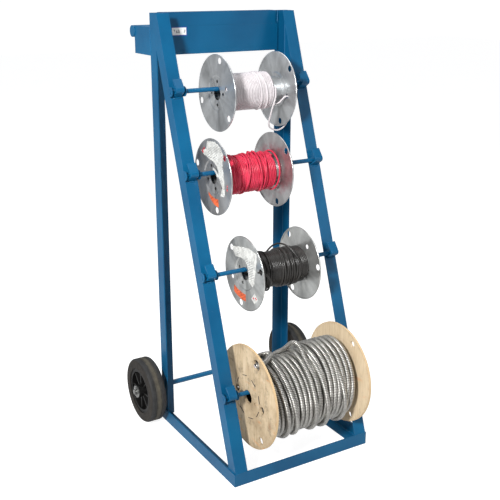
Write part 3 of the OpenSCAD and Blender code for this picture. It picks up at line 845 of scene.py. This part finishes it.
RED_SPOOL_PAPER = [
    # which paper, raggedness in metres, inner edge and outer edge as (degrees, radius in mm)
    (0, 0.004, [(46, 86), (50, 72), (69, 51), (90, 46), (110, 43), (125, 42)],
     [(46, 91), (56, 85), (66, 82), (72, 99), (92, 101), (113, 101)]),
    (0, 0.004, [(125, 42), (142, 39), (158, 37), (173, 36), (188, 46), (200, 57)],
     [(113, 101), (130, 95), (140, 74), (152, 66), (171, 63), (190, 67)]),
    (0, 0.003, [(200, 57), (214, 60), (226, 62)], [(190, 67), (202, 74), (214, 78)]),
    (0, 0.002, [(92, 21), (136, 23), (166, 25)], [(96, 27), (138, 31), (172, 37)]),
    (2, 0.001, [(47, 80), (51, 80)], [(47, 89), (51, 91)]),
    (2, 0.001, [(55, 84), (59, 85)], [(55, 90), (59, 91)]),
    (2, 0.001, [(185, 81), (189, 81)], [(185, 86), (189, 86)]),
    (2, 0.001, [(191, 82), (196, 82)], [(191, 87), (196, 87)]),
    (1, 0.0008, [(298, 53), (270, 56), (242, 65)], [(296, 58), (277, 69), (248, 86)]),
]
BLACK_SPOOL_PAPER = [
    (0, 0.0015,
     [(40, 62), (52, 52), (67, 47), (90, 41), (112, 35), (130, 30), (150, 25), (178, 24), (212, 28)],
     [(43, 93), (58, 82), (73, 77), (95, 79), (118, 90), (132, 100), (146, 78), (168, 59), (209, 54)]),
    (1, 0.0006, [(319, 73), (290, 62), (262, 60)], [(310, 89), (288, 82), (264, 81)]),
    (0, 0.0020, [(217, 70), (238, 73)], [(217, 93), (232, 91)]),
    (2, 0.0006, [(219, 80), (222, 80)], [(219, 88), (222, 88)]),
    (2, 0.0006, [(226, 74), (230, 74)], [(226, 79), (230, 79)]),
]


def spool_labels(spool, sheets):
    """Torn labels, stickers and print rubbed onto a left flange."""
    axis, rim = axis_of(spool + "_drum"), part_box(spool + "_left_flange")[0].x
    papers = [WHITE_PAPER, ORANGE_PAPER, RED_PAPER]
    b = Build(spool + "_spool_paper", spool + "_spool", papers, "paper_label", smooth=False)
    for k, (mat, ragged, inner, outer) in enumerate(sheets):
        # the red marks lie on top of the white paper
        x0 = rim - (0.0003 if mat == 2 else 0.0)
        inner, outer = [(a, r * MM) for a, r in inner], [(a, r * MM) for a, r in outer]
        patch(b, axis, x0, inner, outer, k, ragged, mat)
    b.make(spool + "_labels")


spool_labels("red", RED_SPOOL_PAPER)
spool_labels("black", BLACK_SPOOL_PAPER)


def frame_plate():
    """A printed plate: white middle, blue border and a row of grey blocks."""
    m = Mat("frame_plate", rough=0.4, spec=0.4)
    lo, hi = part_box("frame_label")
    xyz = m.split()
    border = 0.0022
    middle = m.math("MULTIPLY", m.band(xyz["X"], lo.x + border, hi.x - border, 0.0003),
                    m.band(xyz["Z"], lo.z + border, hi.z - border, 0.0003))
    base = m.mix(middle, m.ramp(m.noise(60.0), [(0.3, lin(30, 60, 140)), (0.7, lin(44, 78, 160))]),
                 m.ramp(m.noise(90.0), [(0.3, lin(226, 228, 228)), (0.7, lin(240, 240, 238))]))
    row = m.band(xyz["Z"], lo.z + 0.0075, hi.z - 0.0075, 0.0004)
    blocks = m.ramp(m.noise(260.0, 1.0, 0.4, vector=m.place((1, 1, 0.2))), [(0.46, 0.0), (0.50, 0.8)])
    inside = m.band(xyz["X"], lo.x + 0.005, hi.x - 0.005, 0.0004)
    m.colour(m.mix(m.math("MULTIPLY", m.math("MULTIPLY", row, blocks), inside), base, lin(104, 108, 116)))
    m.rough(m.noise(80.0), 0.32, 0.48)
    m.bump(m.noise(120.0, 3.0), 0.1, 0.0003)
    return m.mat


dress(frame_plate(), "frame_label")


# ---------------------------------------------------------------- plywood reel
REEL_RIM_R = 0.1492  # just inside the edge of the plywood discs
PLY = 0.0032  # thickness of two of its plies


def plywood(name, node, fresh_and_lit, turn):
    """Rotary-cut face veneer: grain, knots, grime and amber streaks.

    The third argument makes a cleaner, lighter copy, partly real and partly painted light to make up for
    the shade on that face; turn slants its grain.
    """
    m = Mat(name, rough=0.62, spec=0.3)
    # grain runs up and slightly across the face
    grain_at = m.place((1, 9.0, 1.0), rotate=(turn, 0, 0))
    grain = m.noise(16.0, 7.0, 0.6, vector=grain_at, distort=0.5)
    veneer = [(0.28, lin(184, 161, 128)), (0.5, lin(202, 181, 149)), (0.72, lin(216, 197, 168))]
    base = m.ramp(grain, veneer)
    aged = m.ramp(m.noise(11.0, 6.0, 0.62), [(0.36, 0.75 * (1 - fresh_and_lit)), (0.60, 0.0)])
    base = m.mix(aged, base, lin(150, 128, 98))
    v = m.node("ShaderNodeTexVoronoi", feature="F1")
    v.inputs["Scale"].default_value = 11.0
    m.link(m.place((0.2, 1.5, 0.8), rotate=(0.5, 0, 0), move=(0.1, 0.33, 0.21)), v.inputs["Vector"])
    knots = m.ramp(v.outputs["Distance"], [(0.04, 0.75), (0.13, 0.25), (0.20, 0.0)])
    base = m.mix(knots, base, lin(128, 92, 62))
    dirt = m.ramp(m.noise(38.0, 9.0, 0.78), [(0.53 + 0.05 * fresh_and_lit, 0.0), (0.68 + 0.05 * fresh_and_lit, 0.75)])
    base = m.mix(dirt, base, lin(104, 92, 76))
    streaks = m.place((1, 1, 3.4), rotate=(0.9, 0, 0), move=(0, 0.3, 0.1))
    amber = m.ramp(m.noise(12.0, 4.0, 0.5, vector=streaks), [(0.63, 0.0), (0.70, 0.6)])
    base = m.mix(amber, base, lin(206, 142, 84))
    # glue has bled through in two places on the worn face
    x, dy, dz, r = m.polar(axis_of(node))
    for across, up in ((-0.030, 0.037), (-0.061, -0.051)):
        off_y = m.math("POWER", m.math("MULTIPLY", m.math("SUBTRACT", dy, across), 0.7), 2.0)
        off_z = m.math("POWER", m.math("MULTIPLY", m.math("SUBTRACT", dz, up), 1.6), 2.0)
        near = m.band(m.math("SQRT", m.math("ADD", off_y, off_z)), -1.0, 0.010, 0.012)
        bled = m.ramp(m.noise(70.0, 6.0, 0.7), [(0.42, 0.0), (0.56, 0.75 * (1 - fresh_and_lit))])
        base = m.mix(m.math("MULTIPLY", near, bled), base, lin(196, 132, 78))
    # plies show on the rim, and the face is rubbed along its edge
    scuff = m.ramp(m.noise(90.0, 5.0, 0.7), [(0.4, 0.0), (0.6, 0.5)])
    scuff = m.math("MULTIPLY", m.band(r, 0.140, 1.0, 0.010), scuff)
    base = m.mix(scuff, base, lin(150, 124, 92))
    rim = m.math("MULTIPLY", m.math("SUBTRACT", r, REEL_RIM_R), 3000.0, clamp=True)
    ply = m.math("SINE", m.math("MULTIPLY", x, 2 * math.pi / PLY))
    ply = m.math("MULTIPLY_ADD", ply, 0.5, c=0.5)
    plies = m.ramp(ply, [(0.0, lin(184, 148, 106)), (0.6, lin(222, 196, 154))])
    base = m.mix(rim, base, plies)
    # painted light: the lighter copy is mixed towards pale, to make up for the shade that falls on its
    # face
    base = m.mix(0.15 * fresh_and_lit, base, lin(236, 216, 184))
    m.colour(base)
    m.rough(m.noise(40.0, 5.0), 0.5, 0.75)
    m.bump(grain, 0.25, 0.0012, bevel=0.001)
    return m.mat


def shade_dark_fibre_tube():
    m = Mat("shade_dark_fibre_tube", rough=0.8, spec=0.2)
    wraps = m.noise(30.0, 5.0, 0.6, vector=m.place((1, 0.4, 4.0), rotate=(0, 0.6, 0)))
    # painted shade: the tube is coloured near black-brown, as it is only seen in shade through the holes
    # of the flanges
    m.colour(m.ramp(wraps, [(0.3, lin(30, 24, 18)), (0.7, lin(56, 46, 34))]))
    m.rough(m.noise(60.0), 0.7, 0.9)
    m.bump(wraps, 0.3, 0.001)
    return m.mat


dress(plywood("worn_plywood", "reel_left_flange", 0.0, 0.5), "reel_left_flange")
# the right flange takes the lighter copy: cleaner wood, and painted light against the shade on it
dress(plywood("plywood", "reel_right_flange", 1.0, 0.2), "reel_right_flange")
dress(shade_dark_fibre_tube(), "reel_drum")


STAPLE_RING = 0.0618  # radius of the ring of staples
STAPLE_WIRE = 0.0009


def reel_staples():
    """Wire staples driven flat against the plywood, with rounded shoulders."""
    axis = axis_of("reel_drum")
    dull = steel("staple_wire", lin(44, 48, 56), lin(88, 92, 100), 0.4, 0.6, 200)
    b = Build("flange_staples", "cable_reel", dull, "zinc_steel")
    lo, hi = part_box("reel_staples")
    # one staple: how far round the ring, and how much of its leg's depth
    shape = [(-0.0108, 1.0), (-0.0107, 0.1), (-0.0096, 0.0), (0.0096, 0.0), (0.0107, 0.1), (0.0108, 1.0)]
    for x, inward in ((lo.x + 0.0004, 1), (hi.x - 0.0004, -1)):
        leg = Vector((inward * 0.004, 0, 0))
        for k in range(8):
            a = math.radians(120 + 45 * k)
            side = Vector((0, -math.sin(a), math.cos(a)))
            centre = on_circle(axis, x, STAPLE_RING, a)
            line = spline([centre + side * d + leg * deep for d, deep in shape], 4)
            b.add(*sweep(line, STAPLE_WIRE, 6))
    b.make("reel_staples")


reel_staples()


RIB = 0.0048  # length of one rib of the cable's armour
CABLE_R = 0.007
CORE = (0.0640, 0.0650)  # a thin layer between the drum and the turns
PITCH = 0.0146  # from one turn of the cable to the next


def armour_material():
    """Interlocked strip: bright crowns, and grooves painted dark as painted shade."""
    m = Mat("cable_armour", metal=0.85)
    uv = m.split("UV")
    phase = m.math("ADD", m.math("DIVIDE", uv["X"], RIB), uv["Y"])
    wave = m.math("MULTIPLY_ADD", m.math("COSINE", m.math("MULTIPLY", phase, 2 * math.pi)), 0.5, c=0.5)
    crown = m.ramp(m.noise(50.0, 5.0), [(0.3, lin(184, 182, 177)), (0.7, lin(222, 220, 214))])
    # painted shade: the grooves between the ribs are dark
    groove_shade = m.ramp(m.noise(70.0, 5.0), [(0.3, lin(56, 53, 48)), (0.7, lin(88, 84, 77))])
    m.colour(m.mix(m.ramp(wave, [(0.10, 0.0), (0.38, 1.0)]), groove_shade, crown))
    m.rough(m.noise(120.0, 4.0), 0.30, 0.46)
    m.bump(m.math("ADD", wave, m.math("MULTIPLY", m.noise(700.0, 3.0), 0.08)), 0.8, 0.0009)
    return m.mat


ARMOUR = armour_material()


def resample(points, step):
    """Points along the line at an even step, and how far along each is."""
    out, at = [], []
    seg, d0, i = (points[1] - points[0]).length, 0.0, 0
    count = int(length_of(points) / step)
    for k in range(count + 1):
        d = k * step
        while d > d0 + seg and i < len(points) - 2:
            d0 += seg
            i += 1
            seg = (points[i + 1] - points[i]).length
        out.append(points[i].lerp(points[i + 1], min(1.0, (d - d0) / seg)))
        at.append(d)
    return out, at


def armoured(build, points, ribbed=True):
    """Interlocked armour along the line. Its ribs wind round it, one crown each RIB of length."""
    sides = 10 if ribbed else 8
    line, at = resample(points, RIB / 3 if ribbed else RIB * 2)
    verts, faces, uvs = sweep(line, CABLE_R, sides, up=Vector((1, 0, 0)))
    if ribbed:
        for i, centre in enumerate(line):
            for k in range(sides):
                wave = 0.5 - 0.5 * math.cos(2 * math.pi * (at[i] / RIB + k / sides))
                q = i * sides + k
                verts[q] = centre + (verts[q] - centre) * (1 - 0.09 * wave)
    build.add(verts, faces, uvs)


def reel_cable():
    axis = axis_of("reel_drum")
    b = Build("armoured_cable_turns", "cable_reel", [ARMOUR, WHITE_WIRE, BLACK_WIRE], "cable_armour")
    b.add(*sleeve(axis, -0.139, 0.146, *CORE))
    armoured(b, helix(axis, -0.133, 0.140, 0.0705, PITCH, 31, per_turn=40, wander=0.4), ribbed=False)
    armoured(b, helix(axis, 0.046, 0.142, 0.0855, PITCH, 32, per_turn=40, wander=0.4), ribbed=False)
    rng = random.Random(5)
    # the outer turns lie low and hang on the left, and are wound fuller on the right
    count = 17
    for k in range(count):
        f = k / (count - 1)
        full = min(1.0, max(0.0, (f - 0.45) / 0.25))
        full = full * full * (3 - 2 * full)
        tilt = -0.018 + 0.022 * f + rng.uniform(-0.001, 0.001)
        lean = 0.004 + rng.uniform(-0.0015, 0.0015)
        armoured(b, ring_turn(axis, -0.110 + 0.250 * f, 0.104 + 0.005 * full, 60 + k, tilt=tilt,
                              sag=0.0205 - 0.0135 * full, lean=lean, tall=0.0015 + 0.0045 * full))
    # slack turns cross over the rest and hang clear below: X, radius, sag, tilt, lean
    slack = [(-0.084, 0.1165, 0.0185, -0.022, 0.006), (-0.052, 0.1160, 0.0175, -0.026, 0.012),
             (0.018, 0.1180, 0.0160, -0.016, 0.016), (0.052, 0.1175, 0.0175, -0.018, 0.010),
             (0.108, 0.1165, 0.0160, -0.018, 0.006)]
    for k, (x, r, sag, tilt, lean) in enumerate(slack):
        armoured(b, ring_turn(axis, x, r, 90 + k, tilt=tilt, sag=sag, lean=lean))
    # one turn arches off the top, and the inner end doubles back to its hole in the left flange
    armoured(b, ring_turn(axis, -0.004, 0.1080, 98, tilt=0.004, sag=0.010, lean=-0.022, rise=0.036,
                          rise_at=95, span=17))
    end = around(axis, [(-0.1522, 0.122, 112), (-0.141, 0.122, 112), (-0.124, 0.121, 110),
                        (-0.106, 0.118, 105), (-0.089, 0.114, 98), (-0.076, 0.111, 91),
                        (-0.071, 0.109, 84), (-0.078, 0.107, 77), (-0.092, 0.104, 72),
                        (-0.108, 0.098, 71), (-0.124, 0.090, 73), (-0.131, 0.083, 79)])
    armoured(b, end)
    # conductors in the cut end
    for k in range(3):
        a = 2 * math.pi * k / 3
        tip = end[0] + Vector((-0.0016, 0.0030 * math.cos(a), 0.0030 * math.sin(a)))
        verts, faces, uvs = sweep([tip, tip + Vector((0.008, 0, 0))], STRAND, 12)
        b.add(verts, faces, uvs, mat=1 + k % 2)
    b.make("reel_cable")


reel_cable()


# ---------------------------------------------------------------- studio
def add_floor():
    m = Mat("studio_floor", rough=0.9, spec=0.1)
    m.colour(m.ramp(m.noise(2.0, 2.0), [(0.0, (0.40, 0.40, 0.40, 1)), (1.0, (0.44, 0.44, 0.44, 1))]))
    m.bsdf.inputs["Emission Color"].default_value = (1, 1, 1, 1)
    seen = m.node("ShaderNodeLightPath").outputs["Is Camera Ray"]
    m.link(m.math("MULTIPLY_ADD", seen, 0.55, c=0.33), m.bsdf.inputs["Emission Strength"])
    mesh = bpy.data.meshes.new("studio_floor")
    half, under = 14.0, -0.0005
    corners = [(-half, -half, under), (half, -half, under), (half, half, under), (-half, half, under)]
    mesh.from_pydata(corners, [], [(0, 1, 2, 3)])
    mesh.materials.append(m.mat)
    add_object("studio_floor", mesh)


def add_light(name, place, aim, size, watts):
    data = bpy.data.lights.new(name, "AREA")
    data.shape = "SQUARE"
    data.size = size
    data.energy = watts
    look(add_object(name, data), place, aim)


def add_world():
    """White behind the cart, and a dimmer room for lighting it, darker behind the camera."""
    world = bpy.data.worlds.new("studio")
    bpy.context.scene.world = world
    world.use_nodes = True
    tree = world.node_tree
    room = tree.nodes["Background"]
    coords = tree.nodes.new("ShaderNodeTexCoord")
    split = tree.nodes.new("ShaderNodeSeparateXYZ")
    ramp = tree.nodes.new("ShaderNodeValToRGB")
    ramp.color_ramp.elements[0].position = 0.10
    ramp.color_ramp.elements[0].color = (0.16, 0.16, 0.17, 1)
    ramp.color_ramp.elements[1].position = 0.75
    ramp.color_ramp.elements[1].color = (0.85, 0.87, 0.90, 1)
    span = tree.nodes.new("ShaderNodeMapRange")
    span.inputs["From Min"].default_value = -1.0
    tree.links.new(coords.outputs["Generated"], split.inputs["Vector"])
    tree.links.new(split.outputs["Y"], span.inputs["Value"])
    tree.links.new(span.outputs["Result"], ramp.inputs["Fac"])
    tree.links.new(ramp.outputs["Color"], room.inputs["Color"])
    room.inputs["Strength"].default_value = 0.44
    white = tree.nodes.new("ShaderNodeBackground")
    white.inputs["Color"].default_value = (1, 1, 1, 1)
    white.inputs["Strength"].default_value = 1.05
    seen = tree.nodes.new("ShaderNodeLightPath")
    mix = tree.nodes.new("ShaderNodeMixShader")
    tree.links.new(seen.outputs["Is Camera Ray"], mix.inputs["Fac"])
    tree.links.new(room.outputs["Background"], mix.inputs[1])
    tree.links.new(white.outputs["Background"], mix.inputs[2])
    tree.links.new(mix.outputs["Shader"], tree.nodes["World Output"].inputs["Surface"])


add_floor()
add_world()
add_light("key_left", (-2.6, -1.95, 2.2), (0, 0, 0.6), 0.45, 165)
add_light("fill_right", (2.6, -2.2, 1.6), (0, 0, 0.6), 1.8, 18)
add_light("top", (0.2, 0.3, 3.2), (0, 0, 0), 2.6, 45)
bpy.context.scene.view_settings.view_transform = "Standard"
